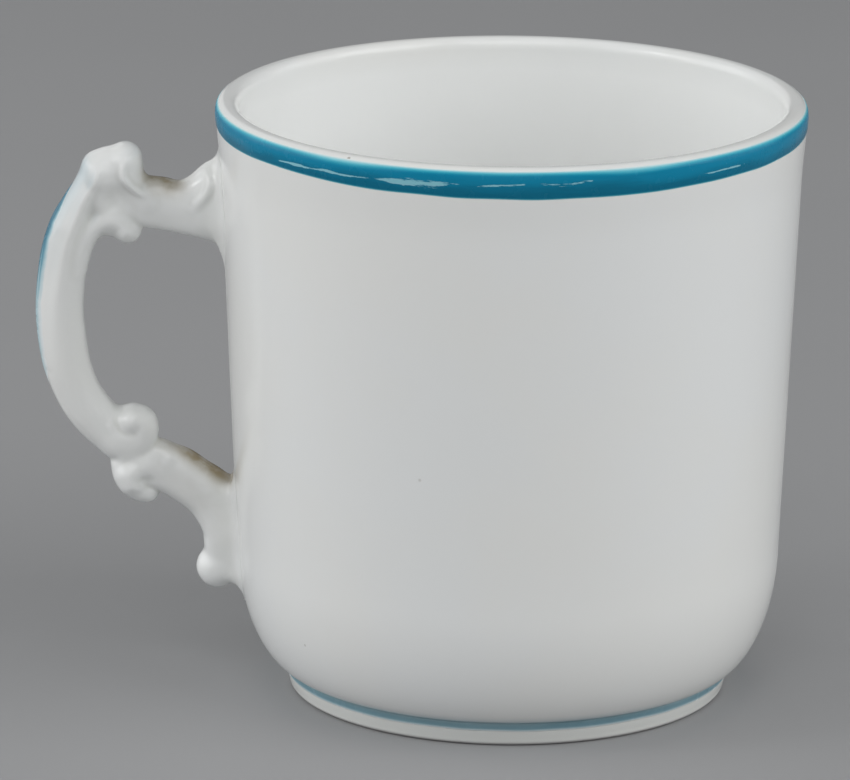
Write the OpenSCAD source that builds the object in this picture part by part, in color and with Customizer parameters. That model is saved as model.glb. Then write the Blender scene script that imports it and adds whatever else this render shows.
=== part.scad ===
// Porcelain demitasse cup with a scrolled handle and enamel lines, in millimetres.
// Z is the cup's axis, the table is at z = 0 and the handle points along -X.

/* [Cup] */
// Diameter over the lip, where the cup is widest
rim_d = 56; // [52:0.5:62]
// Height from the table to the top of the lip
cup_h = 57.5; // [57:0.5:64]
// How far the straight wall draws in, on the radius, from the lip to the lower corner
wall_taper = 1.8; // [0.6:0.1:2.4]
// How far the wall flares out under the lip
flare_out = 0.2; // [0:0.05:0.4]
// Height of the rounded lower corner
corner_h = 12; // [9:0.5:15]
// Thickness of the wall at the lip
lip_t = 2.1; // [1.6:0.1:2.4]
// Thickness of the wall above the lower corner
wall_t = 2.1; // [1.6:0.1:3]
// Thickness of the floor
floor_t = 2.6; // [2:0.1:4]

/* [Foot] */
// Diameter of the foot ring where it meets the cup
foot_d = 42.4; // [40:0.2:46]
// Height of the foot ring, with its bed of slip
foot_h = 2.4; // [1.8:0.1:3]
// Width of the foot ring
foot_w = 2.8; // [2.2:0.1:4]

/* [Handle] */
// Thickness of the handle at the grip
grip_t = 5.2; // [4:0.1:6.5]
// Depth of the flute in the grip's sides, as a share of the thickness
flute = 0.16; // [0:0.02:0.26]
// Thickness of the slip between the stuck-on pieces and the cup
slip_t = 0.3; // [0.2:0.05:0.5]

/* [Enamel] */
// Height of the rim band
band_h = 2.3; // [1.6:0.1:2.4]
// Height of the line round the foot
line_h = 0.5; // [0.3:0.05:0.8]
// Width of the brush stroke on the handle, in degrees round the grip's spine
stroke_angle = 32; // [20:2:50]
// Thickness of the enamel
enamel_t = 0.1; // [0.06:0.02:0.16]

/* [Hidden] */

glaze = [0.93, 0.94, 0.93];
bare_slip = [0.90, 0.90, 0.88];
teal = [0.02, 0.43, 0.55];

$fn = 96;
// How far a cutting solid runs past the faces that it cuts
over_cut = 1;

// The lip is half a squared ellipse
rim_r = rim_d / 2;
lip_rise = 1.3;
lip_step = 15;
lip_power = 0.75;
lip_z = cup_h - lip_rise;
lip_mid_r = rim_r - lip_t / 2;
band_top_angle = 45;
band_z = lip_z + lip_rise * spow(sin(band_top_angle), lip_power) - band_h;
band_steps = 3;

// The wall is straight between the lower corner and the flare
flare_z = 50.5;
flare_steps = 5;
wall_low_r = rim_r - flare_out - wall_taper;
foot_r = foot_d / 2;
corner_z = foot_h + corner_h;
corner_steps = 14;
corner_power = 1.2;

// The inside has a deeper corner than the outside
floor_z = foot_h + floor_t;
bore_low_r = wall_low_r - wall_t;
bore_corner_w = 7.5;
bore_corner_rise = 1.5;
bore_corner_z = corner_z + bore_corner_rise;

// The foot ring draws in from the enamel line to a flat that is narrower than the ring
foot_inner_r = foot_r - foot_w;
foot_edge = 0.3;
foot_taper = 0.55;
foot_low_r = foot_r - foot_taper;
foot_top_z = foot_h - slip_t;

// Half of the grip's thickness, which the handle's other members follow
ht = grip_t / 2;

// Handle members, as [distance out from the lip, height, half width, half thickness]
grip = [
    [11.60, 50.80, 1.20, 0.78 * ht],
    [12.30, 48.70, 1.30, 0.82 * ht],
    [13.25, 46.65, 1.55, 0.86 * ht],
    [13.95, 44.65, 1.90, 0.92 * ht],
    [14.35, 42.20, 2.25, 0.97 * ht],
    [14.75, 39.40, 2.25, ht],
    [14.90, 36.50, 2.25, ht],
    [14.65, 33.50, 2.25, ht],
    [14.15, 30.90, 2.20, 0.98 * ht],
    [13.30, 28.60, 2.15, 0.95 * ht],
    [12.20, 26.80, 2.15, 0.92 * ht],
    [10.80, 25.20, 2.10, 0.88 * ht],
    [9.30, 23.95, 2.00, 0.85 * ht]
];
grip_volute = [
    [9.30, 23.95, 2.00, 0.85 * ht],
    [7.90, 23.60, 1.75, 0.82 * ht],
    [6.95, 24.40, 1.40, 0.78 * ht],
    [6.95, 25.60, 1.35, 0.74 * ht],
    [7.70, 26.10, 1.20, 0.70 * ht]
];
thumb_knob = [
    [11.40, 51.05, 1.25, 0.76 * ht],
    [9.90, 51.35, 1.45, 0.84 * ht],
    [8.55, 51.60, 1.50, 0.88 * ht]
];
knob_neck = [
    [8.50, 51.40, 1.50, 0.88 * ht],
    [8.30, 50.00, 1.45, 0.82 * ht],
    [7.70, 48.70, 1.30, 0.78 * ht],
    [6.50, 47.70, 1.20, 0.74 * ht]
];
strut = [
    [7.00, 46.60, 1.90, 0.70 * ht],
    [5.00, 46.50, 2.03, 0.71 * ht],
    [3.30, 46.78, 2.35, 0.73 * ht],
    [2.40, 46.93, 2.78, 0.76 * ht],
    [1.70, 47.05, 3.25, 0.80 * ht],
    [1.00, 47.17, 3.70, 0.86 * ht],
    [0.20, 47.30, 4.10, 0.94 * ht],
    [-0.40, 47.40, 4.40, ht],
    [-1.60, 47.60, 4.55, 1.04 * ht]
];
inner_rib = [
    [13.00, 40.60, 0.50, 0.60 * ht],
    [12.80, 42.20, 0.85, 0.76 * ht],
    [12.20, 43.90, 1.05, 0.83 * ht],
    [11.25, 45.10, 1.15, 0.82 * ht],
    [10.05, 45.65, 1.15, 0.81 * ht],
    [9.10, 45.40, 1.15, 0.80 * ht],
    [8.45, 44.65, 1.42, 0.80 * ht]
];
lower_scroll = [
    [6.55, 18.60, 1.05, 0.72 * ht],
    [7.60, 18.85, 1.35, 0.78 * ht],
    [8.50, 20.10, 1.60, 0.84 * ht],
    [7.50, 20.85, 1.45, 0.80 * ht],
    [5.90, 20.80, 1.90, 0.80 * ht],
    [4.20, 20.65, 2.35, 0.82 * ht],
    [2.20, 19.45, 2.35, 0.86 * ht],
    [0.60, 17.85, 2.65, 0.90 * ht],
    [-0.50, 15.40, 2.15, 0.90 * ht],
    [-0.70, 13.30, 1.95, 0.82 * ht],
    [-1.20, 11.40, 1.75, 0.70 * ht]
];
saddle = [
    [8.70, 22.20, 0.90, 0.68 * ht],
    [6.90, 21.90, 1.00, 0.72 * ht],
    [5.30, 22.40, 0.90, 0.70 * ht]
];
volute_disc = [8.10, 24.80, 1.80, 0.84 * ht];
volute_boss = [8.00, 25.70, 1.20, 0.96 * ht];
head_corner = [9.40, 21.45, 0.75, 0.66 * ht];
curl_boss = [8.30, 20.35, 1.45, 0.88 * ht];
end_ball = [-0.05, 11.12, 1.95, 0.90 * ht];
web_outline = [[12.0, 50.8], [8.2, 50.8], [6.4, 46.6], [6.8, 44.9], [9.2, 45.1], [12.8, 44.2], [13.4, 46.6]];
web_half_t = 0.74 * ht;

// Rings along each span of a member, and points round each ring
grip_span = 3;
strut_span = 2;
strand_span = 2;
ring_points = 24;
ball_points = 20;
// Squareness of the sections: 1 is an ellipse, smaller is squarer
section_power = 0.82;
// The flute's width and its shift to the inner side, as shares of the half width
flute_width = 0.34;
flute_shift = 0.1;

// Stretch of the grip that carries the brush stroke, as a share of its rings
stroke_from = 0.10;
stroke_to = 0.67;
stroke_points = 8;

// Point of the lower corner, nearly a quarter ellipse, at an angle up from the foot
function corner_point(a) = [
    foot_r + (wall_low_r - foot_r) * pow(sin(a), corner_power),
    foot_h + corner_h * (1 - cos(a))
];

// Point of the inside corner, at an angle up from the floor
function bore_point(a) = [
    bore_low_r - bore_corner_w * (1 - sin(a)),
    floor_z + (bore_corner_z - floor_z) * (1 - cos(a))
];

// Radius of the wall at a height above the lower corner
function wall_r(z) =
    let (rise = (z - corner_z) / (lip_z - corner_z), flare = max(0, (z - flare_z) / (lip_z - flare_z)))
    wall_low_r + wall_taper * rise + flare_out * (1 - cos(180 * flare)) / 2;

// Points of the wall from above one height up to another, in n steps and gap away from it
function wall_points(from_z, to_z, n, gap) = [
    for (i = [1 : n]) let (z = from_z + (to_z - from_z) * i / n) [wall_r(z) + gap, z]
];

// Point of the lip, from its widest at 0 degrees over the top to the inside at 180
function lip_point(a, skin) = [
    lip_mid_r + (lip_t / 2 + skin) * spow(cos(a), lip_power),
    lip_z + (lip_rise + skin) * spow(sin(a), lip_power)
];

// Outside of the cup from the foot to the lip's widest, gap away from the wall
function outside(gap) = concat(
    [for (i = [0 : corner_steps]) corner_point(90 * i / corner_steps) + [gap, 0]],
    wall_points(corner_z, flare_z, 1, gap),
    wall_points(flare_z, band_z, flare_steps, gap),
    wall_points(band_z, lip_z, band_steps, gap)
);

// Outside of the cup from the rim band's lower edge to its upper edge, skin away from the wall
function band_side(skin) = concat(
    [[wall_r(band_z) + skin, band_z]],
    wall_points(band_z, lip_z, band_steps, skin),
    [for (a = [lip_step : lip_step : band_top_angle]) lip_point(a, skin)]
);

// Point on a smooth curve through four numbers or lists, between the middle two
function blend(a, b, c, d, t) =
    (2 * b + (c - a) * t + (2 * a - 5 * b + 4 * c - d) * t * t + (3 * b - a - 3 * c + d) * t * t * t) / 2;

// The same list with a smooth curve through it, in n steps a span
function smooth(list, n) = let (last = len(list) - 1) [
    for (i = [0 : last - 1], k = [0 : n - 1])
        blend(list[max(i - 1, 0)], list[i], list[i + 1], list[min(i + 2, last)], k / n),
    list[last]
];

// Unit vector across a member, square to its run, in the handle's plane
function across(path, i) =
    let (a = path[max(i - 1, 0)], b = path[min(i + 1, len(path) - 1)], d = [b.x - a.x, b.y - a.y])
    [-d.y, d.x] / norm(d);

// Signed power, for rounded-square sections
function spow(v, p) = sign(v) * pow(abs(v), p);

// Section point at an angle: 0 is the spine, and the flute runs down both sides
function section_point(w, t, a, depth) =
    let (n = spow(cos(a), section_power), hollow = 1 - depth * exp(-pow((n + flute_shift) / flute_width, 2)))
    [w * n, t * spow(sin(a), section_power) * hollow];

// Place in the cup's frame of a point of a member's section
function placed(path, i, q) = let (n = across(path, i)) [
    -(rim_r + path[i].x + n.x * q.x),
    q.y,
    path[i].y + n.y * q.x
];

// Closed solid through rings of points, with flat ends
module loft(rings) {
    k = len(rings[0]);
    last = len(rings) - 1;
    sides = [
        for (i = [0 : last - 1], j = [0 : k - 1], half = [0, 1])
            let (a = i * k + j, b = i * k + (j + 1) % k)
            half == 0 ? [a, b + k, b] : [a, a + k, b + k]
    ];
    first_end = [for (j = [0 : k - 1]) j];
    last_end = [for (j = [k - 1 : -1 : 0]) last * k + j];
    polyhedron([for (ring = rings) each ring], concat(sides, [first_end, last_end]));
}

// Member with a rounded-square section, fluted on both sides
module member(list, span, depth) {
    path = smooth(list, span);
    loft([
        for (i = [0 : len(path) - 1]) [
            for (j = [0 : ring_points - 1])
                placed(path, i, section_point(path[i][2], path[i][3], 360 * j / ring_points, depth))
        ]
    ]);
}

// Ball with its own half width in the handle's plane and half thickness across it
module ball(b) {
    translate([-(rim_r + b[0]), 0, b[1]])
        scale([1, b[3] / b[2], 1])
            sphere(r = b[2], $fn = ball_points);
}

// Member with a round section that may curl tightly
module strand(list) {
    path = smooth(list, strand_span);
    for (i = [0 : len(path) - 2])
        hull() {
            ball(path[i]);
            ball(path[i + 1]);
        }
}

// The thin web between the grip, the knob's neck and the strut
module web() {
    translate([-rim_r, web_half_t, 0])
        rotate([90, 0, 0])
            linear_extrude(2 * web_half_t)
                polygon([for (p = web_outline) [-p.x, p.y]]);
}

// Everything inside the cup's outside face, gap away from it
module inside_wall(gap) {
    rotate_extrude()
        polygon(concat([[0, foot_h]], outside(gap), [[0, lip_z]]));
}

// Bed of slip between the wall and the children, as thick as the gap that it fills
module slip_bed() {
    difference() {
        intersection() {
            inside_wall(slip_t);
            union()
                children();
        }
        inside_wall(0);
    }
}

module cup_body() {
    color(glaze)
        rotate_extrude()
            polygon(concat(
                [[0, foot_h]],
                outside(0),
                [for (a = [lip_step : lip_step : 180]) lip_point(a, 0)],
                [for (i = [corner_steps : -1 : 0]) bore_point(90 * i / corner_steps)],
                [[0, floor_z]]
            ));
}

module foot_ring() {
    color(glaze)
        rotate_extrude()
            polygon([
                [foot_inner_r + foot_edge, 0],
                [foot_low_r - foot_edge, 0],
                [foot_low_r, foot_edge],
                [foot_r, foot_h - line_h],
                [foot_r, foot_top_z],
                [foot_inner_r, foot_top_z],
                [foot_inner_r, foot_edge]
            ]);
}

module foot_slip() {
    color(bare_slip)
        translate([0, 0, foot_top_z])
            difference() {
                cylinder(r = foot_r, h = slip_t);
                translate([0, 0, -over_cut])
                    cylinder(r = foot_inner_r, h = slip_t + 2 * over_cut);
            }
}

module handle() {
    color(glaze)
        difference() {
            union() {
                member(grip, grip_span, flute);
                member(strut, strut_span, 0);
                strand(grip_volute);
                strand(thumb_knob);
                strand(knob_neck);
                strand(inner_rib);
                strand(lower_scroll);
                strand(saddle);
                ball(volute_disc);
                ball(volute_boss);
                ball(head_corner);
                ball(curl_boss);
                ball(end_ball);
                web();
            }
            inside_wall(slip_t);
        }
}

module upper_slip() {
    color(bare_slip)
        slip_bed()
            member(strut, strut_span, 0);
}

module lower_slip() {
    color(bare_slip)
        slip_bed() {
            strand(lower_scroll);
            ball(end_ball);
        }
}

module rim_band() {
    back = band_side(0);
    face = band_side(enamel_t);
    color(teal)
        rotate_extrude()
            polygon(concat(back, [for (i = [len(face) - 1 : -1 : 0]) face[i]]));
}

module foot_line() {
    color(teal)
        translate([0, 0, foot_h - line_h])
            difference() {
                cylinder(r = foot_r + enamel_t, h = line_h);
                translate([0, 0, -over_cut])
                    cylinder(r = foot_r, h = line_h + 2 * over_cut);
            }
}

module handle_stroke() {
    path = smooth(grip, grip_span);
    last = len(path) - 1;
    color(teal)
        loft([
            for (i = [round(stroke_from * last) : round(stroke_to * last)])
                let (
                    edge = [
                        for (j = [0 : stroke_points])
                            section_point(path[i][2], path[i][3], stroke_angle * (2 * j / stroke_points - 1), flute)
                    ]
                )
                concat(
                    [for (j = [stroke_points : -1 : 0]) placed(path, i, edge[j])],
                    [for (j = [0 : stroke_points]) placed(path, i, edge[j] + [enamel_t, 0])]
                )
        ]);
}

cup_body();
foot_ring();
foot_slip();
handle();
upper_slip();
lower_slip();
rim_band();
foot_line();
handle_stroke();
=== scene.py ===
"""Looks of a porcelain demitasse cup with a scrolled handle, built round its CAD frame.

Shapes are worked out in millimetres in the frame's own axes: Z is the cup's axis, the table is
at z = 0 and the handle points along -X. They are turned into metres as each mesh is made.
"""

import math

import bmesh
import bpy
import numpy as np
import openvdb
from mathutils import Matrix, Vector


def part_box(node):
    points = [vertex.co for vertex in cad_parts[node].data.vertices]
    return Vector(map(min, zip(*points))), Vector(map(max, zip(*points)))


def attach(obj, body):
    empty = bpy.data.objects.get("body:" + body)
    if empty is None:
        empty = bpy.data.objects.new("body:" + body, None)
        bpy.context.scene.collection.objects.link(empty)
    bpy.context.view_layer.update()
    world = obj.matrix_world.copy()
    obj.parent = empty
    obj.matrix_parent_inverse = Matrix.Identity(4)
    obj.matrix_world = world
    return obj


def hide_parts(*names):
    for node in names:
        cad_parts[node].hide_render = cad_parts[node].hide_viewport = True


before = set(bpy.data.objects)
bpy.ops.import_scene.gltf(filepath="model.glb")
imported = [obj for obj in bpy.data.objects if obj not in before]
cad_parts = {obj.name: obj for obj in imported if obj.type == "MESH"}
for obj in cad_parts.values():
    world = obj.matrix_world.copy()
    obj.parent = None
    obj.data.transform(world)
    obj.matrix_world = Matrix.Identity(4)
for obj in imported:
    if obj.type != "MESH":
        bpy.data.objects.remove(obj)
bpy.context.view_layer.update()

MM = 0.001


def node_box(name):
    """Lowest and highest corner of a CAD node, in millimetres."""
    low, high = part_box(name)
    return np.array(low) / MM, np.array(high) / MM


# Sizes of the cup, from the frame
body_low, body_high = node_box("cup_body")
_, foot_high = node_box("foot_ring")
band_low, _ = node_box("rim_band")
line_low, _ = node_box("foot_line")
RIM_R = body_high[0]
CUP_H = body_high[2]
FOOT_H = body_low[2]
FOOT_R = foot_high[0]
BAND_Z = band_low[2]
LINE_Z = line_low[2]

# The lip, whose section is squarer the further its power is below 1
LIP_RISE = 1.3
LIP_T = 2.1
LIP_POWER = 0.75
LIP_Z = CUP_H - LIP_RISE
LIP_MID_R = RIM_R - LIP_T / 2

# The wall, which flares a little under the lip, and the rounded corner below it
FLARE_Z = 50.5
FLARE_OUT = 0.2
WALL_TAPER = 1.8
WALL_T = 2.1
CORNER_H = 12.0
CORNER_POWER = 1.2
WALL_LOW_R = RIM_R - FLARE_OUT - WALL_TAPER
CORNER_Z = FOOT_H + CORNER_H

# The fair run of the corner into the wall: its reach, and how many of the wall's points it averages
FAIR_REACH = 5.0
FAIR_POINTS = 41
WALL_POINTS = 539

# The floor and the bore
FLOOR_T = 2.6
BASE_DOME = 0.35
BORE_CORNER_W = 7.5
BORE_CORNER_RISE = 1.5
FLOOR_Z = FOOT_H + FLOOR_T
BORE_R = WALL_LOW_R - WALL_T
BORE_CORNER_Z = CORNER_Z + BORE_CORNER_RISE

# The foot ring, and the slip that it is bedded in
FOOT_W = 2.8
FOOT_EDGE = 0.6
FOOT_INNER_EDGE = 0.3
FOOT_TAPER = 0.25
FOOT_INNER_R = FOOT_R - FOOT_W
FOOT_LOW_R = FOOT_R - FOOT_TAPER
SLIP_T = 0.3
SLIP_FILLET = 0.7
SLIP_LAP = 0.1
SLIP_PLAY = 0.02

# Steps along each stretch of the turned sections, and round them
STEPS = {
    "base": 14, "corner": 60, "wall": 60, "lip": 61, "bore": 24, "floor": 10, "edge": 8,
    "foot_top": 4, "foot_inside": 6, "foot_flat": 5, "band_wall": 40, "band_lip": 51, "ring_back": 4,
}
TURNS = 320

# Finish of the body: teal-grey painted shade run up from the foot line, and painted light that makes the
# inside paler
TEAL_SHADE_H = 1.1
TEAL_SHADE_STRENGTH = 0.5
TEAL_SHADE_POWER = 1.5
INSIDE_DEPTH = 0.6
INSIDE_END_Z = (LIP_Z - 2.0, LIP_Z + 0.8)
EDGE_ROOM = 0.1

# Finish of the foot: bare clay, and dust with painted contact shadow, end between two heights; the dust
# and shadow lie along the outer edge, and painted shade darkens the whole ring
BARE_END_Z = (0.072, 0.192)
DUST_SHADOW_END_Z = (0.125, 0.375)
DUST_SHADOW_W = 0.4
DUST_SHADOW_STRENGTH = 0.8
FOOT_PAINTED_SHADE = 0.6

# Enamel, thickest in its middle and dipped under the surface at its edges
ENAMEL_T = 0.09
ENAMEL_SINK = 0.012
RING_BACK = 0.08
RING_EDGE_POWER = 5

# Painted edges wander in waves: the first of them, the least that one counts, and how they die away
FIRST_WAVE = 3
LEAST_WAVE = 0.4
WAVE_POWER = 0.7

# The rim band: where it ends on the lip and how far its path runs past it, and then, in shares of its
# height, its wandering edges, how they fade, how far painted highlights pale its upper edge, and the
# painted shade on its lower half
BAND_TOP_ANGLE = 45
BAND_PAST = 0.5
BAND_PAST_ANGLE = 75
BAND_LOW = -0.13
BAND_RISE_AT_SIDES = 0.22
BAND_LEAN = 0.03
BAND_LOW_WANDER = 0.03
BAND_LOW_FADE = 0.11
BAND_HIGH = 1.05
BAND_HIGH_WANDER = 0.02
BAND_FADE_FROM = 0.79
BAND_FADE_TO = 1.04
BAND_FADE_WANDER = 0.02
BAND_GLINT_DEPTH = 0.14
BAND_SHADE_SPAN = (0.05, 0.75)
BAND_SHADE_WANDER = 0.1
BAND_ROWS = 40

# The foot line, in shares of its CAD height
LINE_LOW = -0.75
LINE_LOW_WANDER = 0.08
LINE_LOW_FADE = 0.75
LINE_FADE = 0.05
LINE_FADE_WANDER = 0.08
LINE_TOP_FADE = 0.35
LINE_TOP = (0.2, 1.0)
LINE_LIGHT = 0.35
LINE_LIGHT_WANDER = 0.3
LINE_ROWS = 12

# The brush stroke: heights of its ends, shares of its length that its tips take, and its half width in
# degrees about the grip's path at either end
STROKE_Z = (48.6, 29.6)
STROKE_TIPS = (0.16, 0.1)
STROKE_TIP_POWER = 0.6
STROKE_HALF_ANGLE = (54, 44)
STROKE_WANDER = 3
STROKE_BACK = 0.1
STROKE_EDGE_POWER = 4
STROKE_STEPS = 12
STROKE_COLUMNS = 33

# Its fading: at the edges, from a share of the half width at either end, and in hairs down its length
STROKE_EDGE_FADE = 0.97
STROKE_EDGE_FROM = (0.68, 0.18)
STROKE_THIN_FADE = 0.7
STROKE_THIN = (0.36, 0.64)
STROKE_HAIRS = 0.12
STROKE_HAIR_WAVES = 8
STROKE_GREY = 0.35

# The search for the handle's surface along a line out from the grip's path
SEARCH_FROM = 4.5
SEARCH_STEP = 0.7
SEARCH_ROUNDS = 40

# Half thickness of the handle at the grip, and the powers of its members' sections: rounded squares
# for most and ellipses for the rest
HALF_T = 2.6
SQUARE_POWER = 2.3
ROUND_POWER = 2.0

# Handle members, as [distance out from the lip, height, half width, half thickness over HALF_T],
# but the strut as [distance out, lower edge, upper edge, half thickness over HALF_T]
GRIP = [
    [11.6, 50.45, 1.18, 0.78], [12.3, 48.7, 1.3, 0.82], [13.25, 46.65, 1.55, 0.86],
    [13.95, 44.65, 1.9, 0.92], [14.35, 42.2, 2.25, 0.97], [14.75, 39.4, 2.25, 1],
    [14.9, 36.5, 2.25, 1], [14.65, 33.5, 2.25, 1], [14.15, 30.9, 2.2, 0.98],
    [13.3, 28.6, 2.15, 0.95], [12.2, 26.8, 2.15, 0.92], [10.8, 25.2, 2.1, 0.88],
    [9.3, 23.95, 2, 0.85],
]
GRIP_VOLUTE = [
    [9.3, 23.95, 2, 0.85], [7.9, 23.6, 1.75, 0.82], [6.95, 24.4, 1.4, 0.78],
    [7.1, 25.5, 1.3, 0.74], [7.85, 26.05, 1.15, 0.7],
]
THUMB_KNOB = [[11.35, 50.75, 1.22, 0.72], [9.9, 51.1, 1.4, 0.79], [8.65, 51.45, 1.5, 0.86]]
KNOB_NECK = [
    [8.55, 51.25, 1.45, 0.88], [8.3, 50, 1.45, 0.82], [7.7, 48.7, 1.3, 0.78],
    [6.5, 47.7, 1.2, 0.74],
]
STRUT = [
    [8.2, 45.6, 48.8, 0.6], [7, 44.8, 49.65, 0.7], [5, 44.5, 49.6, 0.71],
    [3.5, 44.2, 49.3, 0.73], [2.4, 43.95, 49.85, 0.76], [1.7, 43.8, 50.5, 0.8],
    [1, 43.6, 51.05, 0.86], [0.2, 43.35, 51.4, 0.95], [-0.4, 43.2, 51.6, 1.08],
    [-1.6, 43.1, 51.8, 1.3],
]
INNER_RIB = [
    [13, 40.6, 0.5, 0.6], [12.8, 42.2, 0.85, 0.76], [12.2, 43.9, 1.05, 0.83],
    [11.25, 45.1, 1.15, 0.82], [10.05, 45.65, 1.15, 0.81], [9.1, 45.4, 1.15, 0.8],
    [8.45, 44.75, 1.2, 0.8],
]
RIB_DROP = [[8.48, 44.55, 1.34, 0.8], [8.38, 44.5, 1.34, 0.8]]
LOWER_SCROLL = [
    [6.55, 18.65, 1.06, 0.72], [7.45, 19.05, 1.3, 0.78], [8.35, 20.25, 1.5, 0.84],
    [7.5, 20.85, 1.45, 0.8], [5.9, 20.8, 1.9, 0.8], [4.2, 20.75, 2.45, 0.82],
    [2.2, 19.55, 2.45, 0.86], [0.4, 18.05, 2.5, 0.9], [-0.5, 15.4, 1.95, 1],
    [-0.7, 13.3, 1.85, 0.95], [-1.2, 11.4, 1.7, 0.85],
]
SADDLE = [
    [8.7, 22.2, 0.9, 0.68], [6.9, 21.9, 1, 0.72], [5.45, 22.75, 0.95, 0.7],
    [4.6, 22.35, 0.85, 0.72],
]
WEB = [
    [10.4, 50.3, 2, 0.84], [10.2, 49.2, 2.4, 0.84], [10, 47.6, 2.6, 0.78],
    [9.7, 46.2, 2.4, 0.74],
]
KNOB_FACE = [[11.2, 50, 1.3, 0.84], [9.9, 50.05, 1.4, 0.88], [8.7, 50, 1.3, 0.86]]
HEAD_CORNER = [[9.4, 21.45, 0.75, 0.66], [8.9, 20.9, 1.1, 0.76]]
VOLUTE_DISC = [[8.95, 25.4, 1.6, 0.8], [7.4, 25.2, 1.64, 0.78]]
CURL_BOSS = [[8.2, 20.55, 1.4, 1.02], [8.0, 19.75, 1.25, 1.05]]
END_BALL = [[0, 11.2, 1.95, 0.9], [-0.1, 11.05, 1.95, 0.9]]

# The volute's eye, a ball on each side, as [distance out, height, depth of its centre, radius]
VOLUTE_EYE = [8.05, 25.92, 1.45, 0.98]

# Relief on the handle's sides, as [distance out, height, half width, share of the thickness]
RELIEF = {
    "left_ridge": [
        [11, 51.3, 0.36, 0.04], [11.05, 50.4, 0.38, 0.12], [11.45, 49.4, 0.42, 0.17],
        [12.1, 48.2, 0.44, 0.19], [12.7, 47, 0.44, 0.18], [13.35, 45.3, 0.45, 0.15],
        [14, 43.5, 0.46, 0.1], [14.5, 41.2, 0.52, 0.06], [14.9, 38.5, 0.6, 0.03],
        [15.1, 35, 0.8, 0],
    ],
    "ridge_shoulder": [
        [10.35, 50.3, 0.6, 0.05], [10.75, 49.3, 0.65, 0.09], [11.4, 48.1, 0.7, 0.11],
        [12, 46.9, 0.7, 0.1], [12.65, 45.2, 0.7, 0.07], [13.25, 43.4, 0.7, 0.03],
        [13.7, 41.5, 0.7, 0],
    ],
    "inner_slope": [
        [13.3, 36.5, 0.8, 0], [12.9, 34, 0.9, -0.07], [11.75, 30.6, 0.95, -0.12],
        [10.7, 28.5, 0.9, -0.12], [9.8, 27.4, 0.7, 0],
    ],
    "outer_face": [
        [11.6, 50.3, 0.5, 0.03], [12.5, 48.7, 0.6, 0.06], [13.4, 46.9, 0.65, 0.06],
        [14.2, 44.9, 0.65, 0.05], [14.8, 42.6, 0.65, 0.03], [15.2, 40, 0.7, 0],
    ],
    "right_ridge": [
        [8.1, 51.9, 0.36, 0.04], [8.6, 51.1, 0.3, 0.12], [8.7, 50.25, 0.28, 0.22],
        [8.3, 49.55, 0.27, 0.31], [7.79, 49, 0.27, 0.33], [7.3, 48.6, 0.27, 0.28],
        [6.8, 48.3, 0.28, 0.12], [6.2, 48.1, 0.3, 0],
    ],
    "face_hollow": [
        [10.2, 48.9, 0.6, 0], [9.85, 48.1, 0.85, -0.08], [9.7, 47.4, 0.8, -0.09],
        [9.6, 46.7, 0.6, 0],
    ],
    "flute": [
        [11.5, 46.6, 0.6, -0.04], [12.7, 43.8, 0.7, -0.05], [13.4, 40.6, 0.9, -0.03],
        [13.7, 37, 1, -0.02], [13.8, 33, 1, 0],
    ],
    "outer_slope": [
        [14.9, 45, 0.7, 0], [15.7, 42, 0.8, -0.1], [16.3, 38.5, 0.9, -0.14],
        [16.35, 34.5, 0.9, -0.12], [15.8, 31.2, 0.8, -0.08], [14.6, 28.2, 0.8, -0.08],
        [13, 26, 0.7, 0],
    ],
    "outer_notch": [[16.4, 31.1, 0.3, 0], [15.95, 30.85, 0.3, -0.05], [15.4, 30.5, 0.3, 0]],
    "strut_cove": [
        [6.6, 46.2, 0.9, -0.02], [4.6, 45.8, 1, -0.07], [2.6, 45.7, 1, -0.06],
        [1.4, 45.6, 0.8, 0],
    ],
    "flange_bead": [
        [1, 50.95, 0.4, 0.04], [0.7, 50.3, 0.42, 0.14], [0.58, 49.6, 0.42, 0.19],
        [0.8, 48.75, 0.42, 0.2], [1.22, 48, 0.42, 0.17], [1.8, 47.3, 0.42, 0.1],
        [2.45, 46.5, 0.42, 0],
    ],
    "curl_groove": [
        [5.6, 20.15, 0.3, 0], [6.2, 20.25, 0.34, -0.06], [6.8, 20.3, 0.34, -0.08],
        [7.3, 20.2, 0.32, -0.08], [7.45, 19.8, 0.3, -0.05], [7.35, 19.4, 0.28, 0],
    ],
    "volute_groove": [
        [9.2, 27.1, 0.28, 0], [9.5, 26.4, 0.3, -0.1], [9.45, 25.7, 0.3, -0.12],
        [9, 25, 0.3, -0.08], [8.1, 24.65, 0.3, -0.03], [7.4, 24.8, 0.3, 0],
    ],
    "volute_tick": [[10.2, 26, 0.24, 0], [10, 25.45, 0.24, 0.06], [9.7, 24.9, 0.24, 0]],
    "arm_cove": [
        [6.4, 20, 0.7, -0.08], [4.4, 20.4, 1.1, -0.07], [2.2, 19.2, 1.1, -0.06],
        [0.4, 16.6, 1, -0.06], [-0.1, 14, 0.9, 0],
    ],
}

# How softly the members run together and into the wall. The fillet at the wall widens between two
# distances off the handle's plane, but not above the second of two heights.
MEMBER_BLEND = 0.55
DROP_BLEND = 0.25
EYE_BLEND = 0.45
WALL_BLEND = 1.15
SIDE_SPREAD = 1.3
SPREAD_SIDE = (0.8, 2.6)
SPREAD_END_Z = (45.0, 49.0)
GLAZE_PASSES = 2

# The handle's skirt, which dips under the wall's face, and the beds of slip in its feet
SKIRT_SINK = 0.006
SKIRT_DEPTH = 0.45
SKIRT_PAST = 0.6
RUN_OUT = 0.08
SLIP_INSET = 0.12
SLIP_SINK = 0.15
FINGER_GAP_Z = 34.0

# Grid of the handle's field: distance out from the lip, distance off the handle's plane and height
VOXEL = 0.14
GRID_OUT = (-3.3, 18.1)
GRID_SIDE = (0.0, 6.9)
GRID_Z = (7.4, 54.8)
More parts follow.
